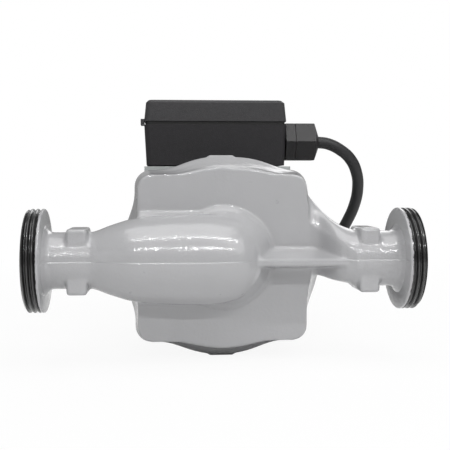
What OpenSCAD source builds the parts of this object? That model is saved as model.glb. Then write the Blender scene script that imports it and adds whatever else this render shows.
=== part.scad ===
// Wet-rotor circulation pump for heating water, seen from its volute side along +Y.
// The modules work from the pipe axis, midway between the ports; X runs along the
// pipe, Y along the shaft towards the motor and Z up. seated() puts the whole pump
// with its lowest lug on the ground and its depth centred on the origin.

/* [Ports] */
// Length from port face to port face
port_span = 180; // [170:1:200]
// Crest radius of the port thread, G 1 1/2
thread_r = 23.9; // [20:0.05:26]
// Pitch of the port thread
thread_pitch = 2.309; // [1.5:0.001:2.5]
// Thickness of the threaded port collar
collar_t = 8; // [7:0.5:9]
// Radius of the water passage at the ports
bore_r = 10; // [8:0.5:10.5]
// Outer radius of the port necks
neck_r = 13.1; // [13:0.1:14]
// Distance from the pipe axis to the flats of the wrench lugs
lug_flat = 15; // [14.5:0.5:17]

/* [Casting] */
// Width of the flat rear wall
wall_w = 80.5; // [78:0.5:84]
// Height of the flat rear wall
wall_h = 80; // [78:0.5:84]
// Radius of the round drum where it meets the rear wall
drum_r = 42.4; // [42:0.1:43]
// Radius of the round drum at the motor joint
flange_r = 48.7; // [48:0.1:49]
// Distance from the shaft axis to the flats of the top and bottom lugs
lug_h = 49.2; // [48.5:0.1:50]
// Width of the top and bottom lugs
lug_w = 12; // [10:1:16]
// Radius of the round boss over the impeller eye
boss_r = 24; // [23:0.5:26]

/* [Wet end] */
// Radius of the impeller
impeller_r = 27; // [24:0.5:30]
// Number of impeller blades
blade_count = 6; // [5:1:8]
// Radius of the shaft
shaft_r = 5; // [4:0.5:6]
// Radius of the rotor's sleeve
rotor_r = 23.5; // [20:0.5:23.8]
// Outer radius of the can
can_r = 25; // [24.9:0.1:25.2]

/* [Motor] */
// Outer radius of the motor shell
shell_r = 41; // [40:0.5:41.5]
// Radius of the bore that holds the stator
stator_r = 37.5; // [37:0.1:38]
// Half width of the flat top under the terminal box
deck_half = 37.9; // [36:0.1:39]
// Height of that flat top over the shaft axis
deck_h = 44.3; // [43:0.1:44.5]
// Pitch of the cooling fins
fin_pitch = 8; // [7:0.5:10]
// Thickness of a cooling fin
fin_t = 2.4; // [2:0.1:3]
// Number of stator slots
slot_count = 12; // [6:6:24]

/* [Terminal box] */
// Half width of the box at its seam
box_half = 38.3; // [37.5:0.1:39]
// Half width of the box at its top and bottom
box_end_half = 37.2; // [36.5:0.1:37.5]
// Depth of the box along the shaft
box_d = 54; // [52:1:56]
// Wall thickness of the box
box_wall = 2.2; // [1.8:0.1:2.6]
// Width across flats of the cable gland
gland_af = 20; // [18:0.5:21]

/* [Lead] */
// Diameter of the mains lead
lead_d = 6.5; // [6.4:0.1:6.6]
// Radius of the outermost turn of the coiled lead
coil_r = 43.5; // [43:0.5:44]
// Turns in each of the two layers of the coil
layer_turns = 2; // [2:1:2]

/* [Hidden] */
$fn = 64;
e = 0.01;                     // how far a cut runs past a face
port_x = port_span / 2;
collar_x = port_x - collar_t;
wrench_len = 9.4;             // length of the wrench lugs along the pipe
wrench_side = 11;             // half depth of the wrench lugs along the shaft
wall_y = 5;                   // rear face of the casting
joint_y = 30;                 // joint between the casting and the motor
rim_y = 18;                   // start of the casting's flange
wall_corner = 7;
throat_r = neck_r + 0.1;      // end of the outlet throat, just over the neck
swell_at = [6.5, 3];          // centre of the drum's swelling at the top of the outlet's side
swell_less = 3.4;             // how much smaller its radius is than the drum's
flange_w = 84;
flange_corner = 8;
chamber_r = 36;               // round chamber that holds the impeller
chamber_y = 9.5;
spigot_r = 38;                // recess for the bearing plate
spigot_y = 27.5;
eye_r = 15;
screw_at = 32.5;              // fixing screws, from the shaft axis along X and Z
screw_r = 3;
screw_gap = 0.06;
fin_reach = 42;               // half width over the side fins
fin_round = 52;               // radius that cuts the fins' lower corners off
motor_y = joint_y + 0.6;      // front face of the motor flange, on its gasket
motor_end = 106;
core_y0 = 52;
core_y1 = 84;
deck_y = 43;
box_y = 58;
box_y1 = box_y + box_d;
box_z = 45.2;
seam_z = 67;
seam_t = 1.8;
cover_z = seam_z + seam_t;
box_top = 80.1;
box_corner = 3;
knob_z = 57;
knob_tip = 122.1;
knob_r = 9.5;
gland_y = 70;
gland_z = 58.2;
gland_x0 = 37.9;
gland_collar = 43.8;
gland_x1 = 57;
gland_cone_x = 54.2;          // where the nut's end starts to taper
lead_r = lead_d / 2;
inner_end = 27;               // end of the lead's sheath inside the box
block_x = 4;
block_y = 74;
way_pitch = 7.5;
earth_x = -18;
earth_y = 88;
earth_r = 2;
capacitor_r = 7.5;
capacitor_z = 62;
vent_thread_r = 8.45;
vent_bore_r = 8.5;
run_gap = 0.05;               // radial clearance of the running fits
tie_t = 0.6;
ground = -lug_h;
coil_x = 8;
coil_y = 166;
coil_z = ground + tie_t + 0.1 + lead_r;
coil_step = 6.95;             // from turn to turn and from layer to layer
coil_rings = 24;              // rings in each turn
plug_r = 18.5;
plug_z = ground + plug_r;
plug_x = coil_x + coil_r;
plug_y = 222;                 // where the plug's strain relief ends and its body starts
relief_len = 24;
plug_len = 34;
pin_len = 19;
pin_gap = 19;
pin_r = 2.4;
seat = [0, -(knob_tip - thread_r) / 2, lug_h];

// Route of the lead from the gland to the coil
lead_route = [
    [57, 70, 58.2], [63, 70, 57.4], [70, 70.5, 54.2], [76.5, 73, 49],
    [81, 77, 41.5], [83, 82, 33], [82.5, 88, 23], [79.5, 94, 13],
    [75, 101, 2.5], [69.5, 109, -8], [64, 118, -18.5], [59, 128, -28],
    [55, 138, -36], [52.5, 148, -42.5], [51.5, 154.5, -45.1], [51.5, 159.5, -45.25]
];
// Route of the lead from the coil to the plug
tail_route = [
    [51.5, 172.5, -38.3], [51.5, 176, -38.1], [51.5, 180, -37.1], [51.5, 185, -34.9],
    [51.5, 190, -32.6], [51.5, 194, -31.1], [51.5, 198, -30.7]
];

// Shared shapes

module seated() {
    translate(seat) children();
}

// A solid of revolution or cylinder whose axis is turned from Z to +Y
module along_y(y) {
    translate([0, y, 0]) rotate([-90, 0, 0]) children();
}

// The same, turned from Z to +X
module along_x(x) {
    translate([x, 0, 0]) rotate([0, 90, 0]) children();
}

module tube_y(y0, y1, r_out, r_in) {
    along_y(y0) difference() {
        cylinder(h = y1 - y0, r = r_out);
        translate([0, 0, -e]) cylinder(h = y1 - y0 + 2 * e, r = r_in);
    }
}

module disc_y(y0, y1, r) {
    along_y(y0) cylinder(h = y1 - y0, r = r);
}

module rounded_rect(w, h, r) {
    square([w - 2 * r, h], center = true);
    square([w, h - 2 * r], center = true);
    for (sx = [-1, 1], sz = [-1, 1])
        translate([sx * (w / 2 - r), sz * (h / 2 - r)]) circle(r);
}

module four_corners(at) {
    for (sx = [-1, 1], sz = [-1, 1]) translate([sx * at, 0, sz * at]) children();
}

// Tube along a line of points
function unit(v) = v / norm(v);
function heading(p, i) = unit(p[min(i + 1, len(p) - 1)] - p[max(i - 1, 0)]);
function side_of(t) = unit(cross(abs(t[2]) > 0.95 ? [1, 0, 0] : [0, 0, 1], t));
function ring_at(p, t, r, n) = let (s = side_of(t), u = cross(t, s))
    [for (k = [0:n - 1]) p + r * (cos(360 * k / n) * s + sin(360 * k / n) * u)];
function tube_points(p, r, n) =
    [for (i = [0:len(p) - 1]) each ring_at(p[i], heading(p, i), r, n)];
function tube_walls(m, n) = [
    for (i = [0:m - 2], k = [0:n - 1]) let (a = i * n + k, b = i * n + (k + 1) % n)
        each [[a, a + n, b], [b, a + n, b + n]]
];
function tube_ends(m, n) = concat(
    [for (k = [1:n - 2]) [0, k, k + 1]],
    [for (k = [1:n - 2]) let (s = (m - 1) * n) [s, s + k + 1, s + k]]
);

module swept_tube(p, r, n) {
    polyhedron(points = tube_points(p, r, n), faces = concat(tube_walls(len(p), n), tube_ends(len(p), n)));
}

// Casing

// Outline of the volute block: a rounded square joined to the round drum, which swells
// out a little at its top on the outlet's side
module block_outline(w, h, corner, r) {
    rounded_rect(w, h, corner);
    circle(r);
    intersection() {
        translate([swell_at[0], -swell_at[1]]) circle(r - swell_less);
        translate([0, -w]) square([w / 2, w]);
    }
}

module block_slice(y, t, w, h, corner, r) {
    along_y(y) linear_extrude(height = t) block_outline(w, h, corner, r, $fn = 48);
}

// Cross-section of the outlet throat: an ellipse or, with a lower power, a boxier ring
function signed_power(v, power) = sign(v) * pow(abs(v), power);
function throat_ring(s, n) = let (
        x = s[0], front = s[1], back = s[2], bottom = s[3], top = s[4], power = s[5], slope = s[6]
    )
    [for (k = [0:n - 1]) let (c = cos(360 * k / n), u = sin(360 * k / n)) [
        x, (front + back + signed_power(c, power) * (back - front)) / 2,
        (bottom + top + signed_power(u, power) * (top - bottom)) / 2 - slope * 2 * max(0, -c) * max(0, u)
    ]];

// Row between the second and third of four rows, on a smooth curve through them
function blend(p, q, r, s, t) = (
    2 * q + (r - p) * t + (2 * p - 5 * q + 4 * r - s) * t * t + (3 * q - p - 3 * r + s) * t * t * t
) / 2;
function row(v, i) = v[min(len(v) - 1, max(0, i))];
function between(v, steps) = concat(
    [for (i = [0:len(v) - 2], k = [0:steps - 1])
        blend(row(v, i - 1), row(v, i), row(v, i + 1), row(v, i + 2), k / steps)],
    [v[len(v) - 1]]
);

module throat(stations, steps, n) {
    rows = between(stations, steps);
    polyhedron(
        points = [for (s = rows) each throat_ring(s, n)],
        faces = concat(tube_walls(len(rows), n), tube_ends(len(rows), n))
    );
}

// Stations: place along X, front, back, bottom, top, boxiness, slope of the top towards the front
module outlet_throat() {
    throat([
        [34, 5.5, 27, -9, 37, 0.45, 9], [38, 5.5, 27, -9.5, 34.6, 0.45, 9],
        [42, 5, 26, -9.7, 30.2, 0.45, 8.5], [46.5, 2.5, 23, -9, 24.3, 0.48, 6.5],
        [52, -5.5, 19.5, -10.4, 18.2, 0.52, 3], [58, -9.6, 16, -11.6, 14.7, 0.7, 1.2],
        [64, -throat_r, throat_r, -throat_r, throat_r, 1, 0], [67, -throat_r, throat_r, -throat_r, throat_r, 1, 0]
    ], 2, 36);
}

// Inlet passage wall: neck, swelling and rounded end over the impeller eye
module inlet_bulge(inset = 0) {
    along_x(0) rotate_extrude() polygon([
        [0, -collar_x], [neck_r - inset, -collar_x], [neck_r - inset, -61], [14 - inset, -58],
        [15.6 - inset, -54], [17.3 - inset, -49], [18.9 - inset, -43.4], [20 - inset, -36],
        [20.9 - inset, -24], [21.2 - inset, -11], [20.9 - inset, -4], [19.9 - inset, 2 - inset / 4],
        [18 - inset, 8 - inset / 2], [13.6 - inset, 13 - inset], [8.6 - inset, 15.6 - inset],
        [0, 16.4 - inset]
    ]);
}

module port_collar() {
    groove = 1.1;
    land = 0.25;
    chamfer = 0.2;
    shoulder = 1.2;
    first = 0.6;
    crests = [for (i = [1:3]) let (z = first + i * thread_pitch)
        each [[thread_r - groove, z - thread_pitch / 2 + land / 2], [thread_r, z], [thread_r, z + land]]];
    along_x(collar_x) rotate_extrude() polygon(concat(
        [[0, 0], [thread_r - chamfer, 0], [thread_r, chamfer], [thread_r, shoulder]],
        crests,
        [[thread_r - chamfer, collar_t], [0, collar_t]]
    ));
}

module wrench_lugs(x) {
    broken = 1.5;
    translate([x - wrench_len / 2, 0, 0]) rotate([90, 0, 90]) linear_extrude(height = wrench_len)
        offset(delta = broken, chamfer = true)
        square([2 * wrench_side - 2 * broken, 2 * lug_flat - 2 * broken], center = true);
}

module water_passages() {
    for (m = [0, 1]) mirror([m, 0, 0]) along_x(60) cylinder(h = port_x - 60 + e, r = bore_r);
    intersection() {
        inlet_bulge(4.2);
        translate([-62, -30, -30]) cube([90, 60, 60]);
    }
    along_x(-63) cylinder(h = 20, r1 = bore_r, r2 = 14);
    disc_y(0, chamber_y + e, eye_r);
    throat([
        [33, chamber_y + 1.5, 23, -3, 20, 0.5, 2], [46.5, 8, 18.5, -4, 17, 0.6, 2],
        [52, 0.5, 15, -6, 13, 0.75, 1], [58, -5, 12, -8, 10.6, 0.9, 0],
        [64, 1.2 - bore_r, bore_r - 1.2, 1.2 - bore_r, bore_r - 1.2, 1, 0]
    ], 2, 32);
}

module pump_housing() color("#b3b3b5") difference() {
    union() {
        hull() {
            block_slice(wall_y, 2, wall_w, wall_h, wall_corner, drum_r);
            block_slice(rim_y, 2, flange_w, flange_w, flange_corner, flange_r);
        }
        block_slice(rim_y, joint_y - rim_y, flange_w, flange_w, flange_corner, flange_r);
        translate([-lug_w / 2, rim_y, -lug_h]) cube([lug_w, 10, 2 * lug_h]);
        inlet_bulge();
        along_y(-9) cylinder(h = wall_y + 9 + e, r1 = 17, r2 = boss_r);
        translate([14, 0, 0]) rotate([90, 0, 90]) linear_extrude(height = 46)
            polygon([[-10, 0.2], [-10, -2.2], [wall_y + 1, -5], [wall_y + 1, 4.2]]);
        outlet_throat();
        along_x(66) cylinder(h = collar_x - 66 + e, r = neck_r);
        for (m = [0, 1]) mirror([m, 0, 0]) port_collar();
        for (x = [-67.1, 67]) wrench_lugs(x);
    }
    water_passages();
    disc_y(chamber_y, joint_y + e, chamber_r);
    disc_y(spigot_y, joint_y + e, spigot_r);
    four_corners(screw_at) disc_y(14, joint_y + e, screw_r + screw_gap);
}

module neck_ring() color("silver")
    tube_y(chamber_y - 5, chamber_y + 1.2, eye_r - 0.02, eye_r - 1.6);

// Rotor

module impeller() color("tan") difference() {
    union() {
        tube_y(6.5, 11.1, eye_r - 1.9, eye_r - 3);
        tube_y(11, 13, impeller_r, eye_r - 3);
        disc_y(22, 24.5, impeller_r);
        tube_y(17, 26, 9, shaft_r + 0.02);
        for (i = [0:blade_count - 1]) along_y(12.8) rotate(360 * i / blade_count)
            linear_extrude(height = 9.4) translate([-8, 16]) difference() {
                circle(14.5);
                circle(12.9);
                translate([-20, -40]) square([40, 38]);
                translate([-40, -20]) square([36, 40]);
            }
    }
    disc_y(10, 30, shaft_r + 0.02);
    tube_y(10, 30, impeller_r + 20, impeller_r);
}

module impeller_clip() color("silver") tube_y(15.4, 16.8, 8, shaft_r - 0.4);

module shaft() color("lightgray") difference() {
    disc_y(12, 95, shaft_r);
    tube_y(15.4, 16.8, shaft_r + 1, shaft_r - 0.4);
    disc_y(90, 95 + e, 1.5);
    translate([-4, 93, -0.6]) cube([8, 3, 1.2]);
}

module rotor_core() color("gray") difference() {
    disc_y(50, 81, rotor_r);
    disc_y(49, 82, shaft_r + 0.02);
    for (a = [0:60:300]) rotate([0, a, 0]) translate([15, 0, 0]) disc_y(49, 53, 3);
}

module thrust_ring() color("#3a3a3c") tube_y(46.4, 49.6, 9, shaft_r + 0.02);

module front_bearing() color("ivory") tube_y(34, 45, 10.95, shaft_r + run_gap);

module rear_bearing() color("ivory") difference() {
    tube_y(83, 92, 12.95, shaft_r + run_gap);
    translate([11, 82, -2]) cube([3, 11, 4]);
}

module bearing_plate() color("silver") difference() {
    union() {
        disc_y(spigot_y + 0.1, 29.4, spigot_r - 0.1);
        disc_y(29.3, 45.2, 12.4);
        tube_y(29.3, 33, can_r - 0.55, can_r - 2);
    }
    disc_y(33.8, 46, 11);
    disc_y(20, 46, shaft_r + 0.6);
    for (a = [45:90:315]) rotate([0, a, 0]) translate([18, 0, 0]) disc_y(26, 34, 2);
}

module casing_gasket() color("#2c2c2c") difference() {
    along_y(joint_y) linear_extrude(height = motor_y - joint_y) rounded_rect(82, 82, 8);
    disc_y(joint_y - e, motor_y + e, spigot_r);
    four_corners(screw_at) disc_y(joint_y - e, motor_y + e, screw_r + 0.3);
}

module rotor_can() color("silver") difference() {
    union() {
        disc_y(29.45, motor_y - 0.1, spigot_r - 0.1);
        disc_y(30, 82.6, can_r);
        disc_y(82, 97, 13.6);
        disc_y(96, 105, 11.4);
    }
    disc_y(29, 82, can_r - 0.5);
    disc_y(81, 96, 13);
    disc_y(95, 106, vent_bore_r);
}

// Stator and its housing

module stator_core() color("dimgray") difference() {
    disc_y(core_y0, core_y1, stator_r - 0.05);
    disc_y(core_y0 - 1, core_y1 + 1, can_r + 0.1);
    for (i = [0:slot_count - 1]) rotate([0, 360 * i / slot_count, 0])
        translate([31, 0, 0]) disc_y(core_y0 - 1, core_y1 + 1, 2.7);
}

module stator_windings() color("#b5652a") {
    tube_y(core_y0 - 9, core_y0 - 0.3, 35, 27);
    tube_y(core_y1 + 0.3, core_y1 + 9, 35, 27);
    for (i = [0:slot_count - 1]) rotate([0, 360 * i / slot_count, 0])
        translate([31, 0, 0]) disc_y(core_y0 - 1, core_y1 + 1, 2.6);
}

module motor_fins() {
    intersection() {
        along_y(deck_y) linear_extrude(height = 58)
            translate([0, (lug_h - 34) / 2]) rounded_rect(2 * fin_reach, lug_h + 34, 10);
        disc_y(deck_y, motor_end, fin_round);
        union() {
            for (i = [-4:3]) translate([-50, deck_y, i * fin_pitch + fin_pitch / 2 - fin_t / 2])
                cube([100, 58, fin_t]);
            for (i = [-3:3]) translate([i * fin_pitch - fin_t / 2, deck_y, -60])
                cube([fin_t, 58, 60]);
        }
    }
}

module motor_housing() color("#b4b9b8") difference() {
    union() {
        disc_y(motor_y, motor_end, shell_r);
        along_y(motor_y) linear_extrude(height = 8) rounded_rect(77, 80, 9);
        translate([-deck_half, deck_y, 12]) cube([2 * deck_half, motor_end - deck_y - 2, deck_h - 12]);
        motor_fins();
    }
    disc_y(motor_y - e, 100, stator_r);
    disc_y(motor_y - e, motor_y + 1, spigot_r);
    disc_y(95, motor_end + e, 11.6);
    disc_y(104.4, motor_end + e, 36.6);
    four_corners(screw_at) {
        disc_y(motor_y - e, 60, screw_r + 0.3);
        disc_y(motor_y + 8, 60, 5.6);
    }
    translate([-12, 62, 30]) cube([24, 16, 20]);
    translate([earth_x, earth_y, 30]) cylinder(h = 20, r = earth_r + 0.05);
}

module motor_screws() color("#c8c8c8") four_corners(screw_at) difference() {
    union() {
        disc_y(16, 39, screw_r);
        disc_y(38.6, 44.6, 5);
    }
    translate([0, 41, 0]) rotate([-90, 0, 0]) cylinder(h = 4, r = 2.9, $fn = 6);
}

module end_plate() color("#c9cccb") tube_y(104.5, 106.4, 36.5, 12.2);

module vent_screw() color("#c9a85a") difference() {
    union() {
        disc_y(96.5, 108, vent_thread_r);
        disc_y(107.8, 112.4, 11.5);
    }
    translate([-13, 110.2, -1.3]) cube([26, 3, 2.6]);
}

module vent_seal() color("#222222") tube_y(106.5, 107.75, 11, vent_thread_r + 0.25);

// Terminal box

module box_rect(w, inset = 0) {
    rounded_rect(2 * w - 2 * inset, box_d - 2 * inset, box_corner, $fn = 32);
}

module box_slab(z, t, half, inset = 0) {
    translate([0, box_y + box_d / 2, z]) linear_extrude(height = t) box_rect(half, inset);
}

module box_cavity(z0, z1, wall) {
    translate([-box_end_half + wall, box_y + wall, z0])
        cube([2 * box_end_half - 2 * wall, box_d - 2 * wall, z1 - z0]);
}

module terminal_box_base() color("#39383a") difference() {
    union() {
        hull() {
            box_slab(box_z, 0.5, box_end_half);
            box_slab(seam_z - 0.5, 0.5, box_half);
        }
        for (sx = [-1, 1], y = [box_y + 8, 98]) translate([sx * 24, y, deck_h])
            cylinder(h = 2, r = 4);
    }
    difference() {
        box_cavity(box_z + box_wall, seam_z + e, box_wall);
        cover_screw_places() translate([0, 0, box_z]) cylinder(h = 30, r = 4);
        for (y = [78, 98]) translate([-26, y, box_z]) cube([8, 2, capacitor_z - capacitor_r - box_z + 0.4]);
    }
    cover_screw_places() translate([0, 0, 56]) cylinder(h = 20, r = 1.95);
    translate([-9, 64, box_z - 2]) cube([18, 12, 8]);
    translate([0, gland_y, gland_z]) along_x(30) cylinder(h = 12, r = 7.6);
    translate([0, 0, knob_z]) disc_y(box_y1 - 4, box_y1 + 1, 3.06);
    translate([earth_x, earth_y, box_z - 1]) cylinder(h = 8, r = earth_r + 0.2);
}

module box_seal() color("#202020") difference() {
    box_slab(seam_z, seam_t, box_half, 0.7);
    box_cavity(seam_z - e, cover_z + e, box_wall);
}

module terminal_box_cover() color("#434345") difference() {
    union() {
        hull() {
            box_slab(cover_z, 0.5, box_half);
            box_slab(box_top - 1.6, 0.2, box_end_half + 0.1);
            box_slab(box_top - 0.2, 0.2, box_end_half, 1.3);
        }
        translate([-box_half - 1.9, box_y + 2, seam_z - 0.2]) cube([3, 9, 3.2]);
    }
    box_cavity(cover_z - e, box_top - box_wall, box_wall);
    translate([-box_half, box_y, seam_z - 1]) cube([2, 20, 2.8]);
    cover_screw_places() translate([0, 0, box_top - 2.4]) cylinder(h = 3, r = 4.3);
    cover_screw_places() translate([0, 0, 60]) cylinder(h = 30, r = 2.1);
}

module cover_screw_places() {
    for (s = [-1, 1]) translate([s * 30, box_y + box_d / 2 + s * 19, 0]) children();
}

module cover_screws() color("#c2c2c2") cover_screw_places() difference() {
    union() {
        translate([0, 0, box_top - 2.35]) cylinder(h = 2, r = 3.9);
        translate([0, 0, 58]) cylinder(h = box_top - 2.2 - 58, r = 1.9);
    }
    for (a = [0, 90]) rotate(a) translate([-2.2, -0.4, box_top - 1.4]) cube([4.4, 0.8, 2]);
}

// The three ways of the terminal block, from the bottom of their screw wells
module block_ways() {
    for (i = [-1:1]) translate([block_x, block_y + i * way_pitch, 50]) children();
}

module terminal_block() color("#e6e2d4") difference() {
    translate([block_x - 8, block_y - 12, box_z + box_wall]) cube([16, 24, 12]);
    block_ways() cylinder(h = 10, r = 2.3);
    block_ways() translate([0, 0, 2.5]) rotate([0, 90, 0]) cylinder(h = 9, r = 1.3);
}

module terminal_screws() color("#c9a85a") block_ways() difference() {
    translate([0, 0, 4.8]) cylinder(h = 4, r = 2.2);
    translate([-2.5, -0.35, 8]) cube([5, 0.7, 1]);
}

module capacitor() color("#d9dadb") translate([-22, 0, capacitor_z]) {
    disc_y(74, 106, capacitor_r);
    for (s = [-1, 1]) translate([3 * s - 0.4, 70, -1.5]) cube([0.8, 4.1, 3]);
}

module speed_switch() color("#2a2a2c") translate([0, 0, knob_z]) difference() {
    translate([-9, 96, -8]) cube([18, box_y1 - box_wall - 96 - 0.1, 17]);
    disc_y(104, box_y1, 3.06);
}

module selector_knob() color("#1d1d1e") translate([0, 0, knob_z]) {
    disc_y(105, box_y1 + 1, 3);
    disc_y(box_y1 + 0.3, box_y1 + 4, knob_r);
    translate([-2.2, box_y1 + 3.9, -knob_r + 0.6]) cube([4.4, knob_tip - box_y1 - 3.9, 2 * knob_r - 1.2]);
}

module gland_at() {
    translate([0, gland_y, gland_z]) children();
}

// Hexagonal bar along X with flats at its top and bottom
module hex_bar(x0, x1) {
    along_x(x0) rotate(90) cylinder(h = x1 - x0, r = gland_af / sqrt(3), $fn = 6);
}

module gland_body() color("#39383a") gland_at() difference() {
    union() {
        hex_bar(gland_x0 + 0.4, gland_collar);
        along_x(34) cylinder(h = gland_collar + 6 - 34, r = 7.5);
    }
    along_x(33) cylinder(h = 30, r = 5.2);
}

module gland_seal() color("#1b1b1b") gland_at() difference() {
    along_x(40) cylinder(h = 12, r = 5.1);
    along_x(39) cylinder(h = 14, r = lead_r);
}

module gland_nut() color("#39383a") gland_at() difference() {
    intersection() {
        hex_bar(gland_collar + 0.1, gland_x1);
        union() {
            along_x(gland_collar) cylinder(h = gland_cone_x - gland_collar, r = 12);
            along_x(gland_cone_x) cylinder(h = gland_x1 - gland_cone_x, r1 = 12, r2 = 4.6);
        }
    }
    along_x(gland_collar) cylinder(h = 9, r = 7.6);
    along_x(gland_collar) cylinder(h = 20, r = lead_r);
}

module cable_clamp() color("#303032") difference() {
    translate([28.6, gland_y - 9, box_z + box_wall + 0.1]) cube([5, 18, 15]);
    gland_at() along_x(26) cylinder(h = 12, r = lead_r + 0.02);
}

// The three cores, from the sheath's end to the ways of the terminal block
module supply_cores() color("#7a4a2a") for (i = [-1:1]) {
    from = [inner_end - 0.05, gland_y + i * 2, gland_z + (i == 0 ? 0.9 : -0.7)];
    to = [block_x + 3, block_y + i * way_pitch, 52.5];
    swept_tube([
        from, from - [3, 0, 0], [(from[0] + to[0]) / 2, (from[1] + to[1]) / 2, (from[2] + to[2]) / 2],
        to + [6, 0, 0], to
    ], 1, 8);
}

// The sheathed end of the lead, inside the gland and the box
module lead_end() color("#2a2a2a") gland_at() along_x(inner_end)
    cylinder(h = gland_x1 - inner_end, r = lead_r - 0.02);

module earth_screw() color("#c9a85a") translate([earth_x, earth_y, 0]) difference() {
    union() {
        translate([0, 0, 41]) cylinder(h = 9.4, r = earth_r);
        translate([0, 0, box_z + box_wall + 0.05]) cylinder(h = 2.4, r = 3.8);
    }
    translate([-4, -0.4, 49]) cube([8, 0.8, 2]);
}

// Mains lead

module mains_cable() color("#2a2a2a") swept_tube(lead_route, lead_r, 12);

// Radius and height of the coiled lead at a given turn, in along one layer, out along the next
function coil_radius(t) = coil_r - coil_step * min(t, 2 * layer_turns - t);
function coil_climb(t) = min(1, max(0, (t - layer_turns + 0.25) / 0.5));
function coil_point(t) = [
    coil_x + coil_radius(t) * cos(360 * t),
    coil_y + coil_radius(t) * sin(360 * t),
    coil_z + coil_step * (1 - cos(180 * coil_climb(t))) / 2
];
coil_turns = [for (i = [0:2 * layer_turns * coil_rings]) coil_point(i / coil_rings)];
end_run = [0, lead_d, 0];     // each end runs straight for one diameter
coil_line = concat(
    [coil_turns[0] - end_run], coil_turns, [coil_turns[len(coil_turns) - 1] + end_run]
);
function run_length(p) = len(p) < 2 ? 0 : norm(p[1] - p[0]) + run_length([for (i = [1:len(p) - 1]) p[i]]);
coil_gap = min([for (i = [0:len(coil_turns) - 1], j = [i + coil_rings / 2:len(coil_turns) - 1])
    norm(coil_turns[i] - coil_turns[j])]) - lead_d;
echo(coil_least_gap = coil_gap);
echo(lead_length = run_length(lead_route) + run_length(coil_line) + run_length(tail_route));

module cable_coil() color("#2a2a2a") swept_tube(coil_line, lead_r, 6);

module plug_lead() color("#2a2a2a") swept_tube(tail_route, lead_r, 12);

module coil_tie() color("#1c1c1c") translate([coil_x, coil_y, ground]) difference() {
    translate([-50, -5, 0]) cube([28, 10, 2 * coil_step + 1.9]);
    translate([-50 + tie_t, -6, tie_t]) cube([28 - 2 * tie_t, 12, 2 * coil_step + 1.9 - 2 * tie_t]);
}

module plug_at() {
    translate([plug_x, 0, plug_z]) children();
}

module plug_body() color("#232323") plug_at() difference() {
    union() {
        along_y(plug_y - relief_len) cylinder(h = relief_len + 1, r1 = 4.2, r2 = 7);
        along_y(plug_y) cylinder(h = 12, r1 = 8, r2 = 15);
        disc_y(plug_y + 10, plug_y + plug_len, plug_r);
    }
    for (s = [-1, 1]) translate([s * plug_r, plug_y + 20, 0]) cube([4, 40, 6], center = true);
}

module plug_pins() color("#d8d8d4") plug_at() for (s = [-1, 1])
    translate([s * pin_gap / 2, 0, 0]) disc_y(plug_y + plug_len, plug_y + plug_len + pin_len, pin_r);

seated() pump_housing();
seated() neck_ring();
seated() impeller();
seated() impeller_clip();
seated() shaft();
seated() rotor_core();
seated() thrust_ring();
seated() front_bearing();
seated() rear_bearing();
seated() bearing_plate();
seated() casing_gasket();
seated() rotor_can();
seated() stator_core();
seated() stator_windings();
seated() motor_housing();
seated() motor_screws();
seated() end_plate();
seated() vent_screw();
seated() vent_seal();
seated() terminal_box_base();
seated() box_seal();
seated() terminal_box_cover();
seated() cover_screws();
seated() terminal_block();
seated() terminal_screws();
seated() capacitor();
seated() speed_switch();
seated() selector_knob();
seated() gland_body();
seated() gland_seal();
seated() gland_nut();
seated() cable_clamp();
seated() lead_end();
seated() supply_cores();
seated() earth_screw();
seated() mains_cable();
seated() cable_coil();
seated() plug_lead();
seated() coil_tie();
seated() plug_body();
seated() plug_pins();
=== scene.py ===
"""Circulation pump: looks of the casting, motor, terminal box and mains lead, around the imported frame."""

import logging
import math
from dataclasses import dataclass, field
from enum import Enum

import bpy
from mathutils import Matrix, Vector


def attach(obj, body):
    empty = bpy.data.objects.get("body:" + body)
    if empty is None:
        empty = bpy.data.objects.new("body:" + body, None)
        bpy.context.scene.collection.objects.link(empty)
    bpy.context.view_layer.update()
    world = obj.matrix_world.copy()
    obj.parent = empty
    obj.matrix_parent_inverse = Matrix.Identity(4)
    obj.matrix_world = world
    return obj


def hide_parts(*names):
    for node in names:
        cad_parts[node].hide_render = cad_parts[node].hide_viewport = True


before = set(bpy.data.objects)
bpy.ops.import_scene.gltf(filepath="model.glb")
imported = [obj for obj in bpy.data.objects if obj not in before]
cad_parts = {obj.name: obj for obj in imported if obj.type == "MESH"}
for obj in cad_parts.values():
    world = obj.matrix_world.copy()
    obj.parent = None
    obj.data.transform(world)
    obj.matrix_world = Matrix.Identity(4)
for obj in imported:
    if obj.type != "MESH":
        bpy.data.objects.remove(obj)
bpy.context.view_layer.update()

log = logging.getLogger("pump")

MM = 0.001
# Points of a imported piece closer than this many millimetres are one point
WELD = 0.004
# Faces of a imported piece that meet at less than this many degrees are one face
FLAT_ANGLE = 0.6
# Middle of the pipe axis in the frame; every size below is in millimetres from there
SEAT = Vector((0.0, -49.1, 49.2))

Point = tuple[float, float, float]
Profile = list[tuple[float, float]]


class Axis(Enum):
    """Direction that a turned or drawn form runs along."""

    X = "x"
    Y = "y"
    Z = "z"

    def place(self, along: float, across: float, up: float = 0.0) -> Vector:
        """Returns the point that lies a way along this axis and across it.

        Args:
            along: Distance along the axis in millimetres.
            across: Distance across it.
            up: Distance in the third direction.

        Returns:
            The point in pump millimetres.
        """
        if self is Axis.X:
            return Vector((along, across, up))
        if self is Axis.Y:
            return Vector((across, along, up))
        return Vector((across, up, along))

    @property
    def unit(self) -> Vector:
        """The axis as a unit vector."""
        return self.place(1.0, 0.0)


def at(point: Point | Vector) -> Vector:
    """Returns a point of the pump, in millimetres from the pipe axis, as a place in the frame."""
    return (Vector(point) + SEAT) * MM


# Bench: the operators that shape every piece


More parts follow.
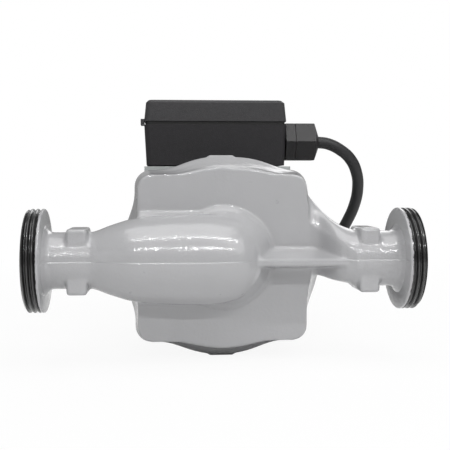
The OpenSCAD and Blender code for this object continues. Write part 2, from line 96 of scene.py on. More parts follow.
def select_only(obj: bpy.types.Object) -> None:
    """Deselects everything, then selects one object and makes it active.

    Args:
        obj: The object to work on.
    """
    bpy.ops.object.select_all(action="DESELECT")
    obj.select_set(True)
    bpy.context.view_layer.objects.active = obj


def settle(obj: bpy.types.Object) -> bpy.types.Object:
    """Puts an object's place, turn and scale into its mesh.

    Args:
        obj: The object to settle.

    Returns:
        The same object, at the origin.
    """
    select_only(obj)
    bpy.ops.object.transform_apply(location=True, rotation=True, scale=True)
    return obj


def apply_all(obj: bpy.types.Object) -> bpy.types.Object:
    """Applies every modifier of an object, in order.

    Args:
        obj: The object whose modifiers are applied.

    Returns:
        The same object.
    """
    select_only(obj)
    for modifier in list(obj.modifiers):
        bpy.ops.object.modifier_apply(modifier=modifier.name)
    return obj


def face_outwards(obj: bpy.types.Object, doubles: float = 0.0) -> bpy.types.Object:
    """Merges doubles if asked and turns every face outwards.

    Args:
        obj: A closed mesh.
        doubles: Distance under which points are merged, in millimetres; 0 merges none.

    Returns:
        The same object.
    """
    select_only(obj)
    bpy.ops.object.mode_set(mode="EDIT")
    bpy.ops.mesh.select_all(action="SELECT")
    if doubles:
        bpy.ops.mesh.remove_doubles(threshold=doubles * MM)
    bpy.ops.mesh.normals_make_consistent(inside=False)
    bpy.ops.object.mode_set(mode="OBJECT")
    return obj


def bevel(obj: bpy.types.Object, width: float, segments: int = 3, angle: float = 30.0) -> bpy.types.Object:
    """Rounds the sharp edges of an object.

    Args:
        obj: The object to round.
        width: Width of the rounding in millimetres.
        segments: Steps across the rounding.
        angle: Edges sharper than this many degrees are rounded.

    Returns:
        The same object.
    """
    modifier = obj.modifiers.new("round", "BEVEL")
    modifier.width = width * MM
    modifier.segments = segments
    modifier.limit_method = "ANGLE"
    modifier.angle_limit = math.radians(angle)
    modifier.use_clamp_overlap = True
    return apply_all(obj)


def smooth(obj: bpy.types.Object, angle: float = 35.0) -> bpy.types.Object:
    """Shades an object smooth, but for its sharp edges.

    Args:
        obj: The object to shade.
        angle: Edges sharper than this many degrees stay sharp.

    Returns:
        The same object.
    """
    select_only(obj)
    bpy.ops.object.shade_smooth_by_angle(angle=math.radians(angle))
    return obj


def flatten_faces(obj: bpy.types.Object) -> bpy.types.Object:
    """Keeps large flat faces flat in their shading, so that only the rounded edges turn.

    Args:
        obj: An object that is shaded smooth.

    Returns:
        The same object.
    """
    weigh = obj.modifiers.new("flat_faces", "WEIGHTED_NORMAL")
    weigh.keep_sharp = True
    return apply_all(obj)


def block(name: str, low: Point, high: Point, rounding: float = 0.0) -> bpy.types.Object:
    """Adds a box between two corners, with its edges rounded.

    Args:
        name: Name of the piece.
        low: Lowest corner in pump millimetres.
        high: Highest corner in pump millimetres.
        rounding: Width of the rounded edges in millimetres.

    Returns:
        The new object.
    """
    bpy.ops.object.select_all(action="DESELECT")
    centre = (Vector(low) + Vector(high)) / 2
    bpy.ops.mesh.primitive_cube_add(size=1.0, location=at(centre))
    obj = bpy.context.active_object
    obj.name = name
    obj.scale = (Vector(high) - Vector(low)) * MM
    settle(obj)
    return bevel(obj, rounding) if rounding else obj


def rod(
    name: str, axis: Axis, start: float, end: float, r0: float, r1: float | None = None,
    centre: Point = (0.0, 0.0, 0.0), sides: int = 64,
) -> bpy.types.Object:
    """Adds a round or polygonal bar, straight or tapered.

    Args:
        name: Name of the piece.
        axis: Axis that the bar runs along.
        start: Where it starts along that axis, in pump millimetres.
        end: Where it ends.
        r0: Radius at the start.
        r1: Radius at the end, if it tapers.
        centre: Point that the bar's axis passes through.
        sides: Number of sides.

    Returns:
        The new object.
    """
    bpy.ops.object.select_all(action="DESELECT")
    middle = Vector(centre) + axis.place((start + end) / 2, 0.0)
    facing = axis.unit.to_track_quat("Z", "Y").to_euler()
    bpy.ops.mesh.primitive_cone_add(
        vertices=sides, radius1=r0 * MM, radius2=(r0 if r1 is None else r1) * MM,
        depth=(end - start) * MM, location=at(middle), rotation=facing,
    )
    obj = bpy.context.active_object
    obj.name = name
    return settle(obj)


def turned(
    name: str, axis: Axis, profile: Profile, centre: Point = (0.0, 0.0, 0.0), steps: int = 96,
) -> bpy.types.Object:
    """Spins a profile of (place along the axis, radius) round an axis into a closed form.

    Args:
        name: Name of the piece.
        axis: Axis of the form.
        profile: Points of the outline, from one end on the axis to the other, or a closed ring.
        centre: Point that the axis passes through.
        steps: Steps of the spin.

    Returns:
        The new object.
    """
    middle = Vector(centre)
    points = [at(middle + axis.place(along, radius)) for along, radius in profile]
    mesh = bpy.data.meshes.new(name)
    closed = profile[0] == profile[-1]
    count = len(points) - (1 if closed else 0)
    edges = [(i, (i + 1) % count) for i in range(count if closed else count - 1)]
    mesh.from_pydata([tuple(p) for p in points[:count]], edges, [])
    obj = bpy.data.objects.new(name, mesh)
    bpy.context.scene.collection.objects.link(obj)
    select_only(obj)
    bpy.ops.object.mode_set(mode="EDIT")
    bpy.ops.mesh.select_all(action="SELECT")
    bpy.ops.mesh.spin(steps=steps, angle=math.tau, center=at(middle), axis=axis.unit, use_auto_merge=True)
    bpy.ops.object.mode_set(mode="OBJECT")
    return face_outwards(obj, doubles=0.002)


def joined(name: str, pieces: list[bpy.types.Object]) -> bpy.types.Object:
    """Joins several objects into the first one.

    Args:
        name: Name of the joined piece.
        pieces: The objects to join.

    Returns:
        The first object, which now holds all.
    """
    select_only(pieces[0])
    for piece in pieces[1:]:
        piece.select_set(True)
    bpy.ops.object.join()
    obj = bpy.context.active_object
    obj.name = name
    return obj


def cut(
    obj: bpy.types.Object, tools: list[bpy.types.Object], operation: str = "DIFFERENCE",
) -> bpy.types.Object:
    """Cuts an object with others, or keeps what it shares with them, and removes the tools.

    Args:
        obj: The object to shape.
        tools: Closed forms to cut with.
        operation: DIFFERENCE or INTERSECT.

    Returns:
        The shaped object.
    """
    for tool in tools:
        modifier = obj.modifiers.new("cut", "BOOLEAN")
        modifier.object = tool
        modifier.operation = operation
        modifier.solver = "EXACT"
        apply_all(obj)
        bpy.data.objects.remove(tool, do_unlink=True)
    return obj


def cast_together(obj: bpy.types.Object, voxel: float, rounds: int) -> bpy.types.Object:
    """Melts a joined form into one skin with fillets where its parts meet.

    Args:
        obj: Overlapping closed forms, joined in one object.
        voxel: Size of the remeshing grid in millimetres.
        rounds: Smoothing rounds, which widen the fillets.

    Returns:
        The same object.
    """
    remesh = obj.modifiers.new("skin", "REMESH")
    remesh.mode = "VOXEL"
    remesh.voxel_size = voxel * MM
    remesh.adaptivity = 0.0
    relax = obj.modifiers.new("fillets", "SMOOTH")
    relax.factor = 0.5
    relax.iterations = rounds
    return apply_all(obj)


def refined(name: str, node: str, width: float, segments: int = 2) -> bpy.types.Object:
    """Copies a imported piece, merges its loose triangles and rounds its edges.

    Args:
        name: Name of the new piece.
        node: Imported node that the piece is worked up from.
        width: Width of the rounded edges in millimetres.
        segments: Steps across the rounding.

    Returns:
        The new object.
    """
    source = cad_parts[node]
    obj = bpy.data.objects.new(name, source.data.copy())
    bpy.context.scene.collection.objects.link(obj)
    obj.data.materials.clear()
    select_only(obj)
    bpy.ops.object.mode_set(mode="EDIT")
    bpy.ops.mesh.select_all(action="SELECT")
    bpy.ops.mesh.remove_doubles(threshold=WELD * MM)
    bpy.ops.mesh.dissolve_limited(angle_limit=math.radians(FLAT_ANGLE))
    bpy.ops.object.mode_set(mode="OBJECT")
    if obj.data.has_custom_normals:
        bpy.ops.mesh.customdata_custom_splitnormals_clear()
    return bevel(obj, width, segments)


# Finishes


def feed(tree: bpy.types.NodeTree, slot: bpy.types.NodeSocket, value: bpy.types.NodeSocket | float) -> None:
    """Links a socket to an input, or sets the input to a number.

    Args:
        tree: The material's node tree.
        slot: The input.
        value: A socket or a number.
    """
    if isinstance(value, bpy.types.NodeSocket):
        tree.links.new(value, slot)
    else:
        slot.default_value = value


def calculated(
    tree: bpy.types.NodeTree, operation: str, *values: bpy.types.NodeSocket | float,
) -> bpy.types.NodeSocket:
    """Adds a Math node.

    Args:
        tree: The material's node tree.
        operation: Its operation.
        *values: Sockets or numbers for its inputs, in order.

    Returns:
        The socket with the result.
    """
    node = tree.nodes.new("ShaderNodeMath")
    node.operation = operation
    for slot, value in zip(node.inputs, values):
        feed(tree, slot, value)
    return node.outputs[0]


def mapped(
    tree: bpy.types.NodeTree, value: bpy.types.NodeSocket,
    source: tuple[float, float], target: tuple[float, float],
) -> bpy.types.NodeSocket:
    """Maps a value from one range to another and holds it there.

    Args:
        tree: The material's node tree.
        value: Socket with the value.
        source: Range that it comes from.
        target: Range that it goes to.

    Returns:
        The socket with the result.
    """
    node = tree.nodes.new("ShaderNodeMapRange")
    node.inputs["From Min"].default_value, node.inputs["From Max"].default_value = source
    node.inputs["To Min"].default_value, node.inputs["To Max"].default_value = target
    tree.links.new(value, node.inputs["Value"])
    return node.outputs["Result"]


def bumped(
    tree: bpy.types.NodeTree, height: bpy.types.NodeSocket, step_mm: float,
    strength: bpy.types.NodeSocket | float, below: bpy.types.NodeSocket | None = None, invert: bool = False,
) -> bpy.types.NodeSocket:
    """Adds a relief to a surface.

    Args:
        tree: The material's node tree.
        height: Socket with the height, from 0 to 1.
        step_mm: Height in millimetres that 1 stands for.
        strength: How strongly it shows.
        below: Normal of the relief that it lies on, if any.
        invert: Whether it goes inwards.

    Returns:
        The socket with the new normal.
    """
    node = tree.nodes.new("ShaderNodeBump")
    node.invert = invert
    node.inputs["Distance"].default_value = step_mm * MM
    feed(tree, node.inputs["Strength"], strength)
    tree.links.new(height, node.inputs["Height"])
    if below:
        tree.links.new(below, node.inputs["Normal"])
    return node.outputs["Normal"]


@dataclass(frozen=True)
class Finish:
    """A surface: its colour with slow mottling, its gloss with fine variation, and its grain.

    Names that end in mm are feature sizes in millimetres. Heights are shares of the feature size.
    """

    name: str
    color: tuple[float, float, float]
    rough: float = 0.5
    metal: float = 0.0
    mottle: float = 0.06
    mottle_mm: float = 12.0
    rough_swing: float = 0.06
    gloss_size: float = 0.4
    grain_mm: float = 0.6
    grain: float = 0.15
    grain_height: float = 0.15
    wave_mm: float = 0.0
    wave: float = 0.0
    wave_height: float = 0.1
    stretch: Point = (1.0, 1.0, 1.0)
    coat: float = 0.0
    coat_rough: float = 0.07
    specular: float = 0.5

    def noise(self, tree: bpy.types.NodeTree, size_mm: float, detail: float = 4.0) -> bpy.types.NodeSocket:
        """Adds a noise of a given feature size on the object's own coordinates.

        Args:
            tree: The material's node tree.
            size_mm: Size of its features in millimetres.
            detail: Octaves of finer noise.

        Returns:
            The socket with the noise.
        """
        coords = tree.nodes.new("ShaderNodeTexCoord")
        mapping = tree.nodes.new("ShaderNodeMapping")
        mapping.inputs["Scale"].default_value = self.stretch
        noise = tree.nodes.new("ShaderNodeTexNoise")
        noise.inputs["Scale"].default_value = 1.0 / (size_mm * MM)
        noise.inputs["Detail"].default_value = detail
        tree.links.new(coords.outputs["Object"], mapping.inputs["Vector"])
        tree.links.new(mapping.outputs["Vector"], noise.inputs["Vector"])
        return noise.outputs["Fac"]

    def tint(
        self, tree: bpy.types.NodeTree, factor: bpy.types.NodeSocket, spread: float,
    ) -> bpy.types.NodeSocket:
        """Mixes a darker and a lighter shade of the colour by a factor.

        Args:
            tree: The material's node tree.
            factor: Socket with the mixing factor.
            spread: How far the two shades lie apart.

        Returns:
            The socket with the mixed colour.
        """
        mix = tree.nodes.new("ShaderNodeMix")
        mix.data_type = "RGBA"
        mix.inputs[6].default_value = (*[c * (1.0 - spread) for c in self.color], 1.0)
        mix.inputs[7].default_value = (*[min(1.0, c * (1.0 + spread)) for c in self.color], 1.0)
        tree.links.new(factor, mix.inputs[0])
        return mix.outputs[2]

    def relief(self, tree: bpy.types.NodeTree) -> bpy.types.NodeSocket:
        """Builds the bump of the surface from its fine grain and its slow waves.

        Args:
            tree: The material's node tree.

        Returns:
            The socket with the normal.
        """
        fine = self.noise(tree, self.grain_mm)
        grain = bumped(tree, fine, self.grain_height * self.grain_mm, self.grain)
        if not self.wave:
            return grain
        slow = self.noise(tree, self.wave_mm, 1.5)
        return bumped(tree, slow, self.wave_height * self.wave_mm, self.wave, grain)

    def material(self) -> bpy.types.Material:
        """Builds the material once and gives the same one on every later call.

        Returns:
            The material.
        """
        label = f"{self.name}_finish"
        made = bpy.data.materials.get(label)
        if made:
            return made
        made = bpy.data.materials.new(label)
        made.use_nodes = True
        tree = made.node_tree
        shader = tree.nodes["Principled BSDF"]
        shader.inputs["Metallic"].default_value = self.metal
        shader.inputs["Specular IOR Level"].default_value = self.specular
        shader.inputs["Coat Weight"].default_value = self.coat
        shader.inputs["Coat Roughness"].default_value = self.coat_rough
        mottle = self.noise(tree, self.mottle_mm, 3.0)
        tree.links.new(self.tint(tree, mottle, self.mottle), shader.inputs["Base Color"])
        swing = (max(0.02, self.rough - self.rough_swing), min(1.0, self.rough + self.rough_swing))
        gloss = mapped(tree, self.noise(tree, self.gloss_size * self.mottle_mm), (0.0, 1.0), swing)
        tree.links.new(gloss, shader.inputs["Roughness"])
        relief = self.relief(tree)
        tree.links.new(relief, shader.inputs["Normal"])
        if self.coat:
            tree.links.new(relief, shader.inputs["Coat Normal"])
        return made


@dataclass(frozen=True)
class CastEnamel(Finish):
    """Enamel of the casting: black from the threads outwards, with the mould's parting line in relief.

    Places are distances in millimetres from the middle of the pump along X.
    """

    black: tuple[float, float, float] = (0.007, 0.007, 0.0068)
    black_from: float = 83.25
    black_edge: float = 0.08
    ragged: float = 1.6
    ragged_mm: float = 2.2
    seam_to: float = 82.0
    seam_width: float = 0.55
    seam_step: float = 0.4
    seam_wobble: float = 0.3
    seam_wobble_mm: float = 1.5
    sand_mm: float = 0.9
    sand_step: float = 0.075
    sand_from: float = 34.0
    sand_full: float = 70.0
    sand_wobble: float = 14.0
    sand_wobble_mm: float = 9.0
    mask_edge: float = 0.1

    def band(
        self, tree: bpy.types.NodeTree, axis: Axis, middle: float, start: float, end: float,
        wobble: float = 0.0, wobble_mm: float = 1.0, both_sides: bool = True,
    ) -> bpy.types.NodeSocket:
        """Builds a mask that rises with the distance from a plane, with an uneven edge.

        Args:
            tree: The material's node tree.
            axis: Axis across the plane.
            middle: Where the plane crosses it, in metres of the frame.
            start: Distance in millimetres where the mask is 0.
            end: Distance in millimetres where it is 1.
            wobble: How far its edge wanders in millimetres.
            wobble_mm: Size of that wandering along the surface.
            both_sides: Whether it rises on both sides of the plane, or on the far side alone.

        Returns:
            The socket with the mask.
        """
        coords = tree.nodes.new("ShaderNodeTexCoord")
        split = tree.nodes.new("ShaderNodeSeparateXYZ")
        tree.links.new(coords.outputs["Object"], split.inputs[0])
        away = calculated(tree, "SUBTRACT", split.outputs[axis.value.upper()], middle)
        if both_sides:
            away = calculated(tree, "ABSOLUTE", away)
        uneven = calculated(tree, "MULTIPLY_ADD", self.noise(tree, wobble_mm, 3.0), wobble * MM, away)
        edges = ((start + wobble / 2) * MM, (end + wobble / 2) * MM)
        return mapped(tree, uneven, edges, (0.0, 1.0))

    def inboard(self, tree: bpy.types.NodeTree, limit: float) -> bpy.types.NodeSocket:
        """Builds a mask that is 1 up to a distance in millimetres from the middle, and 0 beyond it."""
        return calculated(tree, "SUBTRACT", 1.0, self.band(tree, Axis.X, 0.0, limit, limit + self.mask_edge))

    def tint(
        self, tree: bpy.types.NodeTree, factor: bpy.types.NodeSocket, spread: float,
    ) -> bpy.types.NodeSocket:
        """Mixes the shades of the enamel and paints the threads black.

        Args:
            tree: The material's node tree.
            factor: Socket with the mixing factor of the shades.
            spread: How far the two shades lie apart.

        Returns:
            The socket with the mixed colour.
        """
        grey = super().tint(tree, factor, spread)
        mix = tree.nodes.new("ShaderNodeMix")
        mix.data_type = "RGBA"
        mix.inputs[7].default_value = (*self.black, 1.0)
        tree.links.new(grey, mix.inputs[6])
        full = self.black_from + self.black_edge
        edge = self.band(tree, Axis.X, 0.0, self.black_from, full, self.ragged, self.ragged_mm)
        tree.links.new(edge, mix.inputs[0])
        return mix.outputs[2]

    def sand(self, tree: bpy.types.NodeTree) -> bpy.types.NodeSocket:
        """Adds the sand mould's rough skin, which grows towards the collars and ends at the threads.

        Args:
            tree: The material's node tree.

        Returns:
            The socket with the normal.
        """
        grows = self.band(
            tree, Axis.X, 0.0, self.sand_from, self.sand_full, self.sand_wobble, self.sand_wobble_mm,
        )
        share = calculated(tree, "MULTIPLY", grows, self.inboard(tree, self.black_from))
        return bumped(tree, self.noise(tree, self.sand_mm, 2.0), self.sand_step, share, super().relief(tree))

    def relief(self, tree: bpy.types.NodeTree) -> bpy.types.NodeSocket:
        """Adds the ledge of the parting line, up to the collars, to the rough skin of the casting.

        Args:
            tree: The material's node tree.

        Returns:
            The socket with the normal.
        """
        seam = self.band(
            tree, Axis.Z, SEAT.z * MM, 0.0, self.seam_width, self.seam_wobble, self.seam_wobble_mm,
            both_sides=False,
        )
        return bumped(
            tree, seam, self.seam_step, self.inboard(tree, self.seam_to), self.sand(tree), invert=True,
        )


CASTING_PAINT = CastEnamel(
    "casting_enamel", (0.40, 0.40, 0.41), rough=0.30, mottle=0.03, mottle_mm=14.0, rough_swing=0.06,
    grain_mm=0.7, grain=0.3, wave_mm=1.5, wave=0.6, coat=1.0, coat_rough=0.03,
)
# One black box plastic in two copies: this darker, less glossy copy is painted shade for the base's front
# face, which tilts downwards
BOX_PLASTIC_PAINTED_SHADE = Finish(
    "box_plastic", (0.018, 0.017, 0.019), rough=0.5, mottle=0.2, mottle_mm=1.2, rough_swing=0.07,
    grain_mm=0.45, grain=1.6, specular=0.28,
)
# Lighter, glossier copy of the same black plastic: painted light for the lid's front face, which leans back
# towards the overhead lamp
LID_PLASTIC_PAINTED_LIGHT = Finish(
    "lid_plastic_painted_light", (0.038, 0.037, 0.039), rough=0.46, mottle=0.2, mottle_mm=1.2, rough_swing=0.07,
    grain_mm=0.45, grain=1.6, specular=0.35,
)
GLAND_PLASTIC = Finish(
    "gland_plastic", (0.010, 0.009, 0.010), rough=0.42, mottle=0.15, mottle_mm=1.5, rough_swing=0.05,
    grain_mm=0.4, grain=1.0, specular=0.5,
)
SEAL_RUBBER = Finish(
    "seal_rubber", (0.012, 0.012, 0.012), rough=0.75, mottle=0.2, mottle_mm=6.0, grain_mm=0.4, grain=0.3,
)
MOTOR_ALLOY = Finish(
    "motor_alloy", (0.56, 0.585, 0.58), rough=0.42, metal=0.85, mottle=0.06, mottle_mm=9.0, rough_swing=0.08,
    grain_mm=0.45, grain=0.5, wave_mm=5.0, wave=0.08,
)
STEEL = Finish(
    "bright_steel", (0.62, 0.62, 0.61), rough=0.3, metal=1.0, mottle=0.05, mottle_mm=4.0, grain_mm=0.2,
    grain=0.12, stretch=(1.0, 12.0, 12.0),
)
ZINC = Finish(
    "zinc_plate", (0.66, 0.67, 0.66), rough=0.28, metal=1.0, mottle=0.08, mottle_mm=2.5, grain_mm=0.3,
    grain=0.15,
)
PLATE_ALLOY = Finish(
    "plate_alloy", (0.68, 0.69, 0.69), rough=0.36, metal=0.95, mottle=0.03, mottle_mm=8.0, rough_swing=0.09,
    grain_mm=0.25, grain=0.3, stretch=(1.0, 1.0, 16.0),
)
BRASS = Finish(
    "turned_brass", (0.66, 0.49, 0.22), rough=0.26, metal=1.0, mottle=0.08, mottle_mm=5.0, grain_mm=0.25,
    grain=0.2,
)
CABLE_SHEATH = Finish(
    "cable_sheath", (0.014, 0.014, 0.015), rough=0.48, mottle=0.12, mottle_mm=9.0, grain_mm=0.4, grain=0.3,
)
PLUG_PLASTIC = Finish(
    "plug_plastic", (0.022, 0.022, 0.023), rough=0.5, mottle=0.08, mottle_mm=12.0, grain_mm=0.35, grain=0.4,
)
NICKEL = Finish(
    "nickel_plate", (0.70, 0.68, 0.64), rough=0.2, metal=1.0, mottle=0.04, mottle_mm=3.0, grain_mm=0.2,
    grain=0.1,
)
IVORY_CERAMIC = Finish(
    "ground_ceramic", (0.80, 0.77, 0.70), rough=0.22, mottle=0.04, mottle_mm=4.0, grain_mm=0.2, grain=0.08,
)
CARBON = Finish(
    "carbon", (0.02, 0.02, 0.021), rough=0.42, mottle=0.15, mottle_mm=2.0, grain_mm=0.2, grain=0.2,
)
IMPELLER_RESIN = Finish(
    "impeller_resin", (0.42, 0.33, 0.20), rough=0.48, mottle=0.12, mottle_mm=3.0, grain_mm=0.5, grain=0.25,
)
LAMINATION = Finish(
    "lamination", (0.16, 0.16, 0.165), rough=0.5, metal=0.8, mottle=0.1, mottle_mm=3.0, grain_mm=0.5,
    grain=0.8, stretch=(0.1, 1.0, 0.1),
)
COPPER_WIRE = Finish(
    "copper_wire", (0.42, 0.15, 0.05), rough=0.32, metal=0.7, mottle=0.15, mottle_mm=2.0, grain_mm=0.6,
    grain=0.9,
)
NYLON = Finish("nylon", (0.74, 0.71, 0.62), rough=0.45, mottle=0.03, mottle_mm=8.0, grain_mm=0.4, grain=0.15)
CAPACITOR_CAN = Finish(
    "capacitor_can", (0.66, 0.67, 0.67), rough=0.35, mottle=0.03, mottle_mm=8.0, grain_mm=0.4, grain=0.1,
)
CORE_SLEEVE = Finish("core_sleeve", (0.22, 0.085, 0.03), rough=0.4, mottle=0.1, mottle_mm=5.0, grain=0.1)
KNOB_PLASTIC = Finish(
    "knob_plastic", (0.020, 0.020, 0.021), rough=0.4, mottle=0.08, mottle_mm=6.0, grain_mm=0.3, grain=0.3,
)


def hand_over(obj: bpy.types.Object, finish: Finish, body: str, slot: str, *nodes: str) -> bpy.types.Object:
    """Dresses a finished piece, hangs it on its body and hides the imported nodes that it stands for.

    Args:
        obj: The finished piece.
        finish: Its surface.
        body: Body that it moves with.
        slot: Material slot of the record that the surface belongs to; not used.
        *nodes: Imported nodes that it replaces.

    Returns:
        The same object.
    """
    obj.data.materials.clear()
    obj.data.materials.append(finish.material())
    if nodes:
        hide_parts(*nodes)
    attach(obj, body)
    log.info("%s rides on %s", obj.name, body)
    return obj


# Studio


@dataclass
class Studio:
    """Camera, floor, world and lamps round the pump.

    The floor's half width and the reach of the shadow are in metres, other places in pump millimetres.
    A soft box has a name, a place, a target, a width, a height and a power in watts.
    """

    eye: Point = (-26.2, -374.1, 35.1)
    yaw: float = 4.10
    pitch: float = 2.91
    roll: float = -0.09
    focal_px: float = 804.4
    frame_px: float = 450.0
    sensor: float = 36.0
    clip: tuple[float, float] = (0.01, 50.0)
    floor_half: float = 6.0
    floor_grey: float = 0.86
    floor_glow: tuple[float, float] = (0.92, 1.0)
    shadow_reach: tuple[float, float] = (0.12, 0.5)
    sky: float = 0.30
    soft_boxes: list[tuple[str, Point, Point, float, float, float]] = field(default_factory=lambda: [
        ("overhead", (0.0, -100.0, 900.0), (0.0, 0.0, 0.0), 900.0, 700.0, 3.2),
        ("left_fill", (-950.0, -600.0, 220.0), (0.0, 0.0, 10.0), 500.0, 600.0, 0.5),
        ("key", (800.0, -560.0, 660.0), (0.0, 0.0, 10.0), 800.0, 800.0, 2.2),
        ("high_strip", (90.0, -420.0, 760.0), (90.0, 0.0, 0.0), 900.0, 14.0, 2.1),
        ("low_strip", (90.0, -760.0, 500.0), (90.0, 0.0, 0.0), 900.0, 12.0, 2.3),
        ("back_rim", (300.0, 900.0, 520.0), (0.0, 50.0, 0.0), 700.0, 500.0, 2.0),
    ])

    def camera(self) -> bpy.types.Object:
        """Places the camera where the photograph was taken from.

        Returns:
            The camera.
        """
        yaw, pitch, roll = (math.radians(a) for a in (self.yaw, self.pitch, self.roll))
        ahead = Vector((math.sin(yaw) * math.cos(pitch), math.cos(yaw) * math.cos(pitch), -math.sin(pitch)))
        level = Vector((math.cos(yaw), -math.sin(yaw), 0.0))
        upright = level.cross(ahead)
        right = math.cos(roll) * level + math.sin(roll) * upright
        up = -math.sin(roll) * level + math.cos(roll) * upright
        data = bpy.data.cameras.new("camera")
        data.sensor_width = self.sensor
        data.lens = self.sensor * self.focal_px / self.frame_px
        data.clip_start, data.clip_end = self.clip
        eye = bpy.data.objects.new("camera", data)
        facing = Matrix((right, up, -ahead)).transposed().to_4x4()
        eye.matrix_world = Matrix.Translation(at(self.eye)) @ facing
        bpy.context.scene.collection.objects.link(eye)
        bpy.context.scene.camera = eye
        return eye

    def world(self) -> None:
        """Makes a white sky that lights the pump at a plain level."""
        sky = bpy.data.worlds.new("studio")
        sky.use_nodes = True
        bpy.context.scene.world = sky
        tree = sky.node_tree
        light = tree.nodes["Background"]
        light.inputs["Color"].default_value = (1.0, 1.0, 1.0, 1.0)
        light.inputs["Strength"].default_value = self.sky
        seen = tree.nodes.new("ShaderNodeBackground")
        seen.inputs["Color"].default_value = (1.0, 1.0, 1.0, 1.0)
        seen.inputs["Strength"].default_value = 1.0
        mix = tree.nodes.new("ShaderNodeMixShader")
        path = tree.nodes.new("ShaderNodeLightPath")
        tree.links.new(path.outputs["Is Camera Ray"], mix.inputs[0])
        tree.links.new(light.outputs[0], mix.inputs[1])
        tree.links.new(seen.outputs[0], mix.inputs[2])
        tree.links.new(mix.outputs[0], tree.nodes["World Output"].inputs["Surface"])

    def floor(self) -> None:
        """Lays a pale floor that reads as white and keeps a soft shadow."""
        bpy.ops.object.select_all(action="DESELECT")
        bpy.ops.mesh.primitive_plane_add(size=2 * self.floor_half, location=(0.0, 0.0, 0.0))
        floor = bpy.context.active_object
        floor.name = "floor"
        made = bpy.data.materials.new("pale_floor")
        made.use_nodes = True
        tree = made.node_tree
        matt = tree.nodes["Principled BSDF"]
        matt.inputs["Base Color"].default_value = (*[self.floor_grey] * 3, 1.0)
        matt.inputs["Roughness"].default_value = 0.9
        glow = tree.nodes.new("ShaderNodeEmission")
        glow.inputs["Color"].default_value = (1.0, 1.0, 1.0, 1.0)
        coords = tree.nodes.new("ShaderNodeTexCoord")
        distance = tree.nodes.new("ShaderNodeVectorMath")
        distance.operation = "LENGTH"
        tree.links.new(coords.outputs["Object"], distance.inputs[0])
        whiter = mapped(tree, distance.outputs["Value"], self.shadow_reach, self.floor_glow)
        path = tree.nodes.new("ShaderNodeLightPath")
        share = calculated(tree, "MULTIPLY", path.outputs["Is Camera Ray"], whiter)
        mix = tree.nodes.new("ShaderNodeMixShader")
        tree.links.new(share, mix.inputs[0])
        tree.links.new(matt.outputs[0], mix.inputs[1])
        tree.links.new(glow.outputs[0], mix.inputs[2])
        tree.links.new(mix.outputs[0], tree.nodes["Material Output"].inputs["Surface"])
        floor.data.materials.append(made)

    def lamps(self) -> None:
        """Hangs the soft boxes."""
        for name, place, target, width, height, power in self.soft_boxes:
            data = bpy.data.lights.new(name, "AREA")
            data.shape = "RECTANGLE"
            data.size, data.size_y = width * MM, height * MM
            data.energy = power
            lamp = bpy.data.objects.new(name, data)
            lamp.location = at(place)
            lamp.rotation_euler = (at(target) - at(place)).to_track_quat("-Z", "Y").to_euler()
            bpy.context.scene.collection.objects.link(lamp)

    def build(self) -> None:
        """Sets the whole studio up."""
        bpy.context.scene.view_settings.view_transform = "Standard"
        self.camera()
        self.world()
        self.floor()
        self.lamps()


# Mains lead


